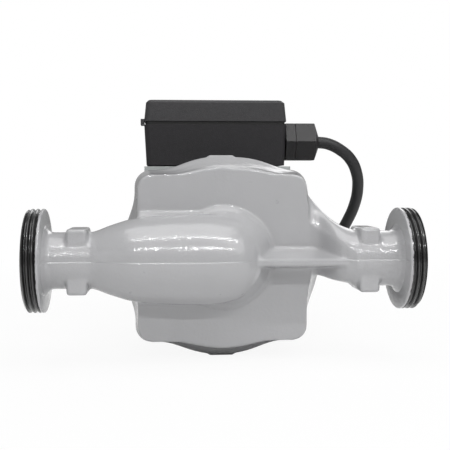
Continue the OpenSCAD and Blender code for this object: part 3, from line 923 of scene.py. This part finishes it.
@dataclass
class MainsLead:
    """The lead from the gland to the plug, with its coil, its tie and the plug."""

    diameter: float = 6.5
    exit: Point = (57.0, 70.0, 58.2)
    coil_middle: Point = (8.0, 166.0, -45.25)
    coil_radius: float = 43.5
    coil_step: float = 6.95
    layer_turns: int = 2
    rings: int = 24
    plug_at: Point = (51.5, 222.0, -30.7)
    plug_radius: float = 18.5
    plug_length: float = 34.0
    relief: float = 24.0
    ribs: int = 6
    grips: int = 4
    grip_pitch: float = 3.2
    grip_width: float = 1.4
    pin_radius: float = 2.4
    pin_length: float = 19.0
    pin_gap: float = 19.0

    def coil_point(self, turns: float) -> Point:
        """Returns the point of the coil after a number of turns, wound inwards and then outwards on top.

        Args:
            turns: Turns from the start of the coil.

        Returns:
            The point in pump millimetres.
        """
        radius = self.coil_radius - self.coil_step * min(turns, 2 * self.layer_turns - turns)
        climb = min(1.0, max(0.0, (turns - self.layer_turns + 0.25) / 0.5))
        x, y, z = self.coil_middle
        return (
            x + radius * math.cos(math.tau * turns),
            y + radius * math.sin(math.tau * turns),
            z + self.coil_step * (1 - math.cos(math.pi * climb)) / 2,
        )

    def route(self) -> list[Point]:
        """Lays out the whole centreline: the free lead, the coil and the run to the plug.

        Returns:
            Its points in pump millimetres.
        """
        free = [
            (57, 70, 58.2), (63, 70, 57.4), (70, 70.5, 54.2), (76.5, 73, 49),
            (81, 77, 41.5), (83, 82, 33), (82.5, 88, 23), (79.5, 94, 13),
            (75, 101, 2.5), (69.5, 109, -8), (64, 118, -18.5), (59, 128, -28),
            (55, 138, -36), (52.5, 148, -42.5), (51.5, 154.5, -45.1), (51.5, 159.5, -45.25),
        ]
        steps = 2 * self.layer_turns * self.rings
        coil = [self.coil_point(i / self.rings) for i in range(steps + 1)]
        tail = [
            (51.5, 172.5, -38.3), (51.5, 176, -38.1), (51.5, 180, -37.1), (51.5, 185, -34.9),
            (51.5, 190, -32.6), (51.5, 194, -31.1), (51.5, 198, -30.7),
        ]
        return free + coil + tail

    def sheath(self) -> bpy.types.Object:
        """Draws the lead as one curve through its route.

        Returns:
            The lead.
        """
        points = self.route()
        data = bpy.data.curves.new("mains_lead", "CURVE")
        data.dimensions = "3D"
        data.resolution_u = 6
        data.bevel_depth = self.diameter / 2 * MM
        data.bevel_resolution = 6
        data.use_fill_caps = True
        line = data.splines.new("BEZIER")
        line.bezier_points.add(len(points) - 1)
        for knot, point in zip(line.bezier_points, points):
            knot.co = at(point)
            knot.handle_left_type = knot.handle_right_type = "AUTO"
        lead = bpy.data.objects.new("mains_lead", data)
        bpy.context.scene.collection.objects.link(lead)
        return lead

    def plug(self) -> bpy.types.Object:
        """Builds the plug's moulding: ribbed relief, flared grip and grooved face block.

        Returns:
            The moulding.
        """
        x, y, z = self.plug_at
        start = y - self.relief
        pitch = self.relief / self.ribs
        profile: Profile = [(start, 0.0), (start, 4.0)]
        for i in range(self.ribs):
            swell = 4.2 + 2.8 * (i + 0.5) / self.ribs
            a = start + i * pitch
            profile += [(a + 0.3, swell), (a + 0.62 * pitch, swell + 0.15), (a + 0.7 * pitch, swell - 0.9),
                        (a + 0.95 * pitch, swell - 0.9)]
        front = y + self.plug_length
        profile += [
            (y, 7.4), (y + 3.0, 9.4), (y + 8.0, 13.0), (y + 9.4, 15.4), (y + 10.2, 17.6),
            (y + 11.0, self.plug_radius), (front - 1.2, self.plug_radius), (front, self.plug_radius - 1.2),
            (front, 0.0),
        ]
        body = turned("plug_moulding", Axis.Y, profile, centre=(x, 0.0, z), steps=72)
        side = self.plug_radius
        grooves = [
            block("groove", (x + s * side - 2, y + 6, z - 3), (x + s * side + 2, front + 6, z + 3), 0.8)
            for s in (-1, 1)
        ]
        grips = [
            block("grip", (x - 9, near, wall - 0.7), (x + 9, near + self.grip_width, wall + 2))
            for near in (y + 14 + self.grip_pitch * i for i in range(self.grips))
            for wall in (z - side, z + side)
        ]
        cut(body, grooves + grips)
        return smooth(bevel(body, 0.35, 2, 40.0), 40.0)

    def pins(self) -> bpy.types.Object:
        """Builds the two round pins with domed tips.

        Returns:
            Both pins in one object.
        """
        x, y, z = self.plug_at
        front = y + self.plug_length
        tip = front + self.pin_length
        r = self.pin_radius
        dome = [(tip - r * 0.6 * (1 - math.sin(a)), r * math.cos(a))
                for a in (math.radians(d) for d in range(0, 91, 15))]
        made = [
            turned("pin", Axis.Y, [(front - 1, 0.0), (front - 1, r), *dome[:-1], (tip, 0.0)],
                   centre=(x + s * self.pin_gap / 2, 0.0, z), steps=40)
            for s in (-1, 1)
        ]
        return smooth(joined("plug_pin_pair", made), 40.0)

    def build(self) -> None:
        lead = hand_over(self.sheath(), CABLE_SHEATH, "casing", "cable_sheath",
                         "mains_cable", "cable_coil", "plug_lead")
        tie = hand_over(smooth(refined("coil_strap", "coil_tie", 0.2)), PLUG_PLASTIC, "casing", "tie_plastic",
                        "coil_tie")
        plug = hand_over(self.plug(), PLUG_PLASTIC, "casing", "plug_plastic", "plug_body")
        pins = hand_over(self.pins(), NICKEL, "casing", "pin_nickel", "plug_pins")


# Casting


def lofted(name: str, rings: list[list[Point]]) -> bpy.types.Object:
    """Skins a row of rings of points, with the same count in each, into a closed form.

    Args:
        name: Name of the piece.
        rings: The rings in order, in pump millimetres.

    Returns:
        The new object.
    """
    count = len(rings[0])
    points = [tuple(at(p)) for ring in rings for p in ring]
    faces = [tuple(range(count)), tuple(range((len(rings) - 1) * count, len(rings) * count))]
    for i in range(len(rings) - 1):
        a, b = i * count, (i + 1) * count
        faces += [(a + k, a + (k + 1) % count, b + (k + 1) % count, b + k) for k in range(count)]
    mesh = bpy.data.meshes.new(name)
    mesh.from_pydata(points, [], faces)
    obj = bpy.data.objects.new(name, mesh)
    bpy.context.scene.collection.objects.link(obj)
    return face_outwards(obj)


def hulled(name: str, points: list[Point]) -> bpy.types.Object:
    """Wraps points in their convex hull.

    Args:
        name: Name of the piece.
        points: Corners in pump millimetres.

    Returns:
        The new object.
    """
    mesh = bpy.data.meshes.new(name)
    mesh.from_pydata([tuple(at(p)) for p in points], [], [])
    obj = bpy.data.objects.new(name, mesh)
    bpy.context.scene.collection.objects.link(obj)
    select_only(obj)
    bpy.ops.object.mode_set(mode="EDIT")
    bpy.ops.mesh.select_all(action="SELECT")
    bpy.ops.mesh.convex_hull()
    bpy.ops.object.mode_set(mode="OBJECT")
    return face_outwards(obj)


def between(stations: list[tuple[float, ...]], steps: int) -> list[tuple[float, ...]]:
    """Fills in rows of numbers on smooth curves through given rows.

    Args:
        stations: Rows to pass through.
        steps: Rows made for each gap.

    Returns:
        The longer list of rows.
    """
    def value(p: float, q: float, r: float, s: float, t: float) -> float:
        """Works out one number on the smooth curve through four.

        Args:
            p: The number before the gap.
            q: The number where the gap starts.
            r: The number where it ends.
            s: The number after it.
            t: Share of the way from q to r.

        Returns:
            The number there.
        """
        square = 2 * p - 5 * q + 4 * r - s
        cube = 3 * q - p - 3 * r + s
        return 0.5 * (2 * q + (r - p) * t + square * t * t + cube * t ** 3)

    rows = []
    last = len(stations) - 1
    for i in range(last):
        four = [stations[min(last, max(0, i + k))] for k in (-1, 0, 1, 2)]
        rows += [tuple(value(*column, k / steps) for column in zip(*four)) for k in range(steps)]
    return rows + [stations[last]]


@dataclass(frozen=True)
class BlockSection:
    """Outline of the volute block at one depth: a rounded square melted into a round drum.

    The drum swells out a little at its top on the outlet's side.
    """

    y: float
    half_w: float
    half_h: float
    corner: float
    drum_r: float
    swell_at: tuple[float, float] = (6.5, 3.0)
    swell_less: float = 3.4

    def reach(self, angle: float, melt: float = 4.0) -> float:
        """Returns the distance from the shaft axis to the outline in one direction.

        Args:
            angle: Direction in radians, from +X towards +Z.
            melt: Width in millimetres over which square and drum flow together.

        Returns:
            The distance in millimetres.
        """
        c, s = math.cos(angle), math.sin(angle)
        flat = min(self.half_w / max(abs(c), 1e-6), self.half_h / max(abs(s), 1e-6))
        px, pz = self.half_w - self.corner, self.half_h - self.corner
        along = abs(c) * px + abs(s) * pz
        inside = along * along - px * px - pz * pz + self.corner ** 2
        if abs(flat * c) > px and abs(flat * s) > pz and inside > 0:
            flat = along + math.sqrt(inside)
        drum = self.drum_r
        if s > 0:
            x, z = self.swell_at
            side = c * x + s * z
            swell = side + math.sqrt(side * side - x * x - z * z + (self.drum_r - self.swell_less) ** 2)
            drum = max(drum, min(swell, self.half_w / max(c, 1e-6)))
        near = max(0.0, melt - abs(flat - drum)) / melt
        return max(flat, drum) + near * near * melt / 4

    def ring(self, count: int = 240) -> list[Point]:
        """Returns the outline as a ring of points."""
        angles = [math.tau * k / count for k in range(count)]
        return [(self.reach(a) * math.cos(a), self.y, self.reach(a) * math.sin(a)) for a in angles]


@dataclass
class Casting:
    """The painted casting: volute block, inlet bulge, outlet throat, web, necks and wrench lugs."""

    voxel: float = 0.8
    fillet_rounds: int = 3
    wall_y: float = 5.0
    joint_y: float = 30.0
    sections: tuple[BlockSection, ...] = (
        BlockSection(5.0, 40.3, 39.6, 7.0, 42.8),
        BlockSection(9.0, 40.7, 40.0, 7.0, 44.2),
        BlockSection(14.0, 41.3, 41.0, 7.5, 46.4),
        BlockSection(18.0, 42.0, 42.0, 8.0, 48.7),
        BlockSection(30.0, 42.0, 42.0, 8.0, 48.7),
    )
    lug_half: float = 6.0
    lug_reach: float = 49.2
    boss_r: float = 24.3
    pad_half: float = 21.5
    pad_face: float = 3.2
    neck_r: float = 13.1
    flare: Profile = field(default_factory=lambda: [
        (3.0, 0.0), (2.0, 0.5), (1.0, 1.5), (0.3, 2.9), (-1.0, 4.4),
    ])
    wall: float = 4.2
    bore_r: float = 10.0
    collar_x: float = 82.0
    eye_r: float = 15.0
    chamber_r: float = 36.0
    chamber_y: float = 9.5
    spigot_r: float = 38.0
    spigot_y: float = 27.5
    screw_at: float = 32.5
    screw_from: float = 14.0
    screw_r: float = 3.06
    wrench_flat: float = 15.0
    wrench_side: float = 11.0
    wrench_length: float = 9.4
    wrench_root: float = 4.0
    wrench_round: float = 1.2
    wrench_x: tuple[float, float] = (-67.1, 67.0)

    def bulge_profile(self, inset: float = 0.0) -> Profile:
        """Returns the outline of the inlet's swelling, from the collar to its round end.

        Args:
            inset: How far the outline lies inside the casting's skin, in millimetres.

        Returns:
            Points of (place along X, radius).
        """
        outline = [
            (-61.0, self.neck_r), (-58.0, 14.0), (-54.0, 15.6), (-49.0, 17.3), (-43.4, 18.9), (-36.0, 20.0),
            (-24.0, 20.9), (-11.0, 21.2), (-4.0, 20.9), (2.0, 19.9), (8.0, 18.0), (13.0, 13.6), (15.6, 8.6),
        ]
        curve = between(outline, 4)
        pull = [(x - inset * max(0.0, x) / 16.0, r - inset) for x, r in curve]
        start = -self.collar_x - 1
        return [(start, 0.0), (start, self.neck_r - inset), *pull, (16.4 - inset, 0.0)]

    def root_flares(self) -> list[bpy.types.Object]:
        """Builds the rounded roots that widen both necks into their collars.

        Returns:
            Both roots.
        """
        flares = []
        for side in (-1, 1):
            outline = [(side * (self.collar_x - back), self.neck_r + out) for back, out in self.flare]
            flares.append(turned("root_flare", Axis.X, [
                (outline[0][0], 0.0), *outline, (outline[-1][0], 0.0),
            ]))
        return flares

    def pad(self) -> list[bpy.types.Object]:
        """Builds the low pad on the front wall that the bulge and the boss rise from.

        Returns:
            Its straight part and its round part.
        """
        edge = self.sections[0].half_w
        back = self.wall_y + 2
        return [
            block("pad", (-edge, self.pad_face, -self.pad_half), (3.0, back, self.pad_half), 0.5),
            rod("pad_round", Axis.Y, self.pad_face, back, self.boss_r - 0.1, sides=96),
        ]

    def outlet(self) -> bpy.types.Object:
        """Builds the throat that leads from the drum to the outlet neck.

        Returns:
            The throat.
        """
        stations = [
            # x, front, back, bottom, top, boxiness, slope of the top towards the front
            (34.0, 5.5, 27.0, -9.0, 37.0, 0.45, 9.0),
            (38.0, 5.5, 27.0, -9.5, 34.6, 0.45, 9.0),
            (42.0, 5.0, 26.0, -9.7, 30.2, 0.45, 8.5),
            (46.5, 2.5, 23.0, -9.0, 24.3, 0.48, 6.5),
            (52.0, -7.2, 19.5, -10.4, 18.2, 0.52, 4.0),
            (58.0, -11.8, 16.0, -11.6, 14.7, 0.72, 2.0),
            (64.0, -self.neck_r, self.neck_r, -self.neck_r, self.neck_r, 1.0, 0.0),
            (67.0, -self.neck_r, self.neck_r, -self.neck_r, self.neck_r, 1.0, 0.0),
        ]
        return lofted("throat", [self.throat_ring(*row) for row in between(stations, 5)])

    @staticmethod
    def throat_ring(
        x: float, front: float, back: float, bottom: float, top: float, power: float, slope: float,
        count: int = 72,
    ) -> list[Point]:
        """Returns one cross-section of the outlet throat.

        Args:
            x: Its place along the pipe axis.
            front: Its lowest Y.
            back: Its highest Y.
            bottom: Its lowest Z.
            top: Its highest Z.
            power: 1 for an ellipse, less for a boxier shape.
            slope: How far the front end of its top lies lower.
            count: Points in the ring.

        Returns:
            The ring of points.
        """
        ring = []
        for k in range(count):
            c, s = math.cos(math.tau * k / count), math.sin(math.tau * k / count)
            across = math.copysign(abs(c) ** power, c)
            up = math.copysign(abs(s) ** power, s)
            drop = slope * 2 * max(0.0, -c) * max(0.0, s)
            ring.append((
                x, (front + back) / 2 + across * (back - front) / 2,
                (bottom + top) / 2 + up * (top - bottom) / 2 - drop,
            ))
        return ring

    def skin(self) -> bpy.types.Object:
        """Melts the volute block, bulge, boss, web, throat, necks and lugs into one casting.

        Returns:
            The casting without its hollows.
        """
        web = [
            (x, y, z) for x in (12.0, 64.0)
            for y, z in ((-11.2, 0.7), (-11.2, -2.4), (self.wall_y + 2, -5.4), (self.wall_y + 2, 4.6))
        ]
        parts = [
            lofted("block", [s.ring() for s in self.sections]),
            block("lugs", (-self.lug_half, 18.5, -self.lug_reach), (self.lug_half, 27.5, self.lug_reach)),
            turned("bulge", Axis.X, self.bulge_profile()),
            rod("boss", Axis.Y, -10.0, self.wall_y + 2, 16.6, self.boss_r + 0.4, sides=96),
            hulled("web", web),
            self.outlet(),
            rod("outlet_neck", Axis.X, 60.0, self.collar_x + 1, self.neck_r),
            *self.root_flares(),
            *self.pad(),
            *self.wrench_lugs(),
        ]
        return cast_together(joined("casting_skin", parts), self.voxel, self.fillet_rounds)

    def hollow(self, skin: bpy.types.Object) -> bpy.types.Object:
        """Machines the passages, the impeller chamber and the screw holes into the casting.

        Args:
            skin: The casting without its hollows.

        Returns:
            The same casting.
        """
        wet: Profile = [
            (0.0, 0.0), (0.0, self.eye_r), (self.chamber_y, self.eye_r), (self.chamber_y, self.chamber_r),
            (self.spigot_y, self.chamber_r), (self.spigot_y, self.spigot_r),
            (self.joint_y + 1, self.spigot_r), (self.joint_y + 1, 0.0),
        ]
        start = -self.collar_x - 3
        inlet = [
            (start, 0.0), (start, self.bore_r), (-63.0, self.bore_r), (-61.0, self.bore_r), (-52.0, 11.8),
            *[p for p in self.bulge_profile(self.wall) if p[0] > -49.0],
        ]
        throat = [
            (33.0, self.chamber_y + 1.5, 23.0, -3.0, 20.0, 0.5, 2.0), (46.5, 8.0, 18.5, -4.0, 17.0, 0.6, 2.0),
            (52.0, 0.5, 15.0, -6.0, 13.0, 0.75, 1.0), (58.0, -5.0, 12.0, -8.0, 10.6, 0.9, 0.0),
            (68.0, -self.bore_r, self.bore_r, -self.bore_r, self.bore_r, 1.0, 0.0),
        ]
        screws = joined("screw_holes", [
            rod("hole", Axis.Y, self.screw_from, self.joint_y + 1, self.screw_r, centre=(x, 0, z), sides=32)
            for x in (-self.screw_at, self.screw_at) for z in (-self.screw_at, self.screw_at)
        ])
        cut(skin, [
            turned("wet_end", Axis.Y, wet),
            turned("inlet_way", Axis.X, inlet),
            lofted("outlet_way", [self.throat_ring(*row) for row in between(throat, 5)]),
            rod("outlet_bore", Axis.X, 66.0, self.collar_x + 3, self.bore_r),
            screws,
        ])
        return smooth(skin, 50.0)

    def wrench_lugs(self) -> list[bpy.types.Object]:
        """Builds the flat lugs above and below each neck that a wrench holds.

        Returns:
            The four lugs.
        """
        lugs = []
        half, wide = self.wrench_length / 2, self.wrench_side
        for x in self.wrench_x:
            for side in (-1, 1):
                low, high = sorted((side * self.wrench_root, side * self.wrench_flat))
                lugs.append(block("lug", (x - half, -wide, low), (x + half, wide, high), self.wrench_round))
        return lugs

    def build(self) -> None:
        """Makes the casting and hands it over."""
        hand_over(self.hollow(self.skin()), CASTING_PAINT, "casing", "casting_paint", "pump_housing")


@dataclass
class PortThread:
    """The threaded collar at each end of the pipe axis, with a real helical thread."""

    crest_r: float = 23.9
    pitch: float = 2.309
    depth: float = 1.25
    collar_x: float = 82.0
    port_x: float = 90.0
    bore_r: float = 10.0
    core_r: float = 12.0
    shoulder: float = 1.3
    lead_in: float = 0.9
    turns: int = 4

    def ridge(self) -> bpy.types.Object:
        """Winds the ridge of the thread with a Screw modifier.

        Returns:
            The ridge of the right collar.
        """
        root, crest = self.crest_r - self.depth - 0.2, self.crest_r + 0.02
        middle = self.pitch / 2
        rounding = [(-0.5, -0.42), (-0.3, -0.12), (-0.1, 0.0), (0.1, 0.0), (0.3, -0.12), (0.5, -0.42)]
        section = [(0.02, root), *[(middle + x, crest + r) for x, r in rounding], (self.pitch - 0.02, root)]
        ring = [(i, (i + 1) % len(section)) for i in range(len(section))]
        mesh = bpy.data.meshes.new("ridge")
        mesh.from_pydata([(x * MM, 0.0, r * MM) for x, r in section], ring, [])
        obj = bpy.data.objects.new("ridge", mesh)
        bpy.context.scene.collection.objects.link(obj)
        screw = obj.modifiers.new("thread", "SCREW")
        screw.axis = "X"
        screw.screw_offset = self.pitch * MM
        screw.iterations = self.turns
        screw.steps = screw.render_steps = 120
        screw.use_merge_vertices = True
        apply_all(obj)
        obj.location = at((self.collar_x + self.shoulder - 1.4, 0, 0))
        settle(obj)
        select_only(obj)
        bpy.ops.object.mode_set(mode="EDIT")
        bpy.ops.mesh.select_all(action="DESELECT")
        bpy.ops.mesh.select_non_manifold()
        bpy.ops.mesh.fill_holes(sides=0)
        bpy.ops.object.mode_set(mode="OBJECT")
        face_outwards(obj)
        start, end = self.collar_x + self.shoulder - 0.5, self.port_x
        core, top, lead_in = self.core_r, self.crest_r, self.lead_in
        envelope = turned("envelope", Axis.X, [
            (start, core), (start, top), (end - lead_in, top), (end, top - lead_in), (end, core),
            (start, core),
        ], steps=160)
        return cut(obj, [envelope], "INTERSECT")

    def collar(self) -> bpy.types.Object:
        """Turns the collar under the thread, with its shoulder and its sealing face.

        Returns:
            The right collar.
        """
        a, b = self.collar_x, self.port_x
        crest, root, bore = self.crest_r, self.crest_r - self.depth, self.bore_r
        edge = a + self.shoulder
        return turned("collar", Axis.X, [
            (a - 1.0, bore), (a - 1.0, self.core_r), (a, self.core_r + 0.4), (a, crest - 0.7),
            (a + 0.1, crest - 0.35), (a + 0.35, crest - 0.06), (a + 0.6, crest), (edge - 0.2, crest),
            (edge, crest - 0.1), (edge + 0.8, root), (b - 0.1, root), (b, root - 0.1), (b, bore + 0.6),
            (b - 0.6, bore), (a - 1.0, bore),
        ], steps=160)

    def build(self) -> None:
        """Makes both collars, the left one as the right one turned about the vertical axis."""
        right = smooth(joined("port_thread_right", [self.collar(), self.ridge()]), 32.0)
        left = bpy.data.objects.new("port_thread_left", right.data.copy())
        bpy.context.scene.collection.objects.link(left)
        pivot = Matrix.Translation(at((0, 0, 0)))
        left.data.transform(pivot @ Matrix.Rotation(math.pi, 4, "Z") @ pivot.inverted())
        for thread in (right, left):
            hand_over(thread, CASTING_PAINT, "casing", "casting_paint", "pump_housing")


# Motor, terminal box and what turns


@dataclass(frozen=True)
class Refined:
    """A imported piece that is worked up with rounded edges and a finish."""

    name: str
    node: str
    finish: Finish
    slot: str
    body: str = "casing"
    width: float = 0.3
    segments: int = 2

    def build(self) -> None:
        """Makes the piece and hands it over in place of its node."""
        obj = flatten_faces(smooth(refined(self.name, self.node, self.width, self.segments), 35.0))
        hand_over(obj, self.finish, self.body, self.slot, self.node)


WORKED_UP = (
    Refined("motor_shell", "motor_housing", MOTOR_ALLOY, "motor_alloy", width=0.35),
    Refined("motor_bolts", "motor_screws", ZINC, "zinc_steel"),
    Refined("rear_plate", "end_plate", PLATE_ALLOY, "plate_alloy", width=0.25),
    Refined("vent_plug", "vent_screw", BRASS, "brass", body="vent", width=0.35),
    Refined("vent_washer", "vent_seal", SEAL_RUBBER, "gasket_rubber", body="vent_washer", width=0.15),
    # Base and lid take the painted-shade and painted-light copies of one black plastic
    Refined("box_base", "terminal_box_base", BOX_PLASTIC_PAINTED_SHADE, "box_plastic", width=0.35),
    Refined("box_band", "box_seal", SEAL_RUBBER, "gasket_rubber", width=0.15),
    Refined("box_lid", "terminal_box_cover", LID_PLASTIC_PAINTED_LIGHT, "box_plastic", width=0.5, segments=3),
    Refined("lid_screws", "cover_screws", ZINC, "zinc_steel", width=0.2),
    Refined("gland_hex", "gland_body", GLAND_PLASTIC, "box_plastic", width=0.3),
    Refined("gland_cap", "gland_nut", GLAND_PLASTIC, "box_plastic", width=0.4, segments=3),
    Refined("speed_knob", "selector_knob", KNOB_PLASTIC, "switch_plastic", "selector", width=0.4, segments=3),
)

DRESSED_AS_PACKED = {
    "neck_ring": STEEL, "impeller": IMPELLER_RESIN, "impeller_clip": STEEL, "shaft": STEEL,
    "rotor_core": STEEL, "thrust_ring": CARBON, "front_bearing": IVORY_CERAMIC,
    "rear_bearing": IVORY_CERAMIC, "bearing_plate": STEEL, "casing_gasket": SEAL_RUBBER,
    "rotor_can": STEEL, "stator_core": LAMINATION, "stator_windings": COPPER_WIRE,
    "terminal_block": NYLON, "terminal_screws": BRASS, "capacitor": CAPACITOR_CAN,
    "speed_switch": KNOB_PLASTIC, "gland_seal": SEAL_RUBBER, "cable_clamp": BOX_PLASTIC_PAINTED_SHADE,
    "lead_end": CABLE_SHEATH, "supply_cores": CORE_SLEEVE, "earth_screw": BRASS,
}


def dress_inner_pieces() -> None:
    """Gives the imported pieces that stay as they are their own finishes."""
    for node, finish in DRESSED_AS_PACKED.items():
        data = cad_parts[node].data
        data.materials.clear()
        data.materials.append(finish.material())


def main() -> None:
    """Builds the whole scene."""
    Studio().build()
    MainsLead().build()
    Casting().build()
    PortThread().build()
    for piece in WORKED_UP:
        piece.build()
    dress_inner_pieces()


if __name__ == "__main__":
    logging.basicConfig(level=logging.INFO, format="%(message)s")
    main()
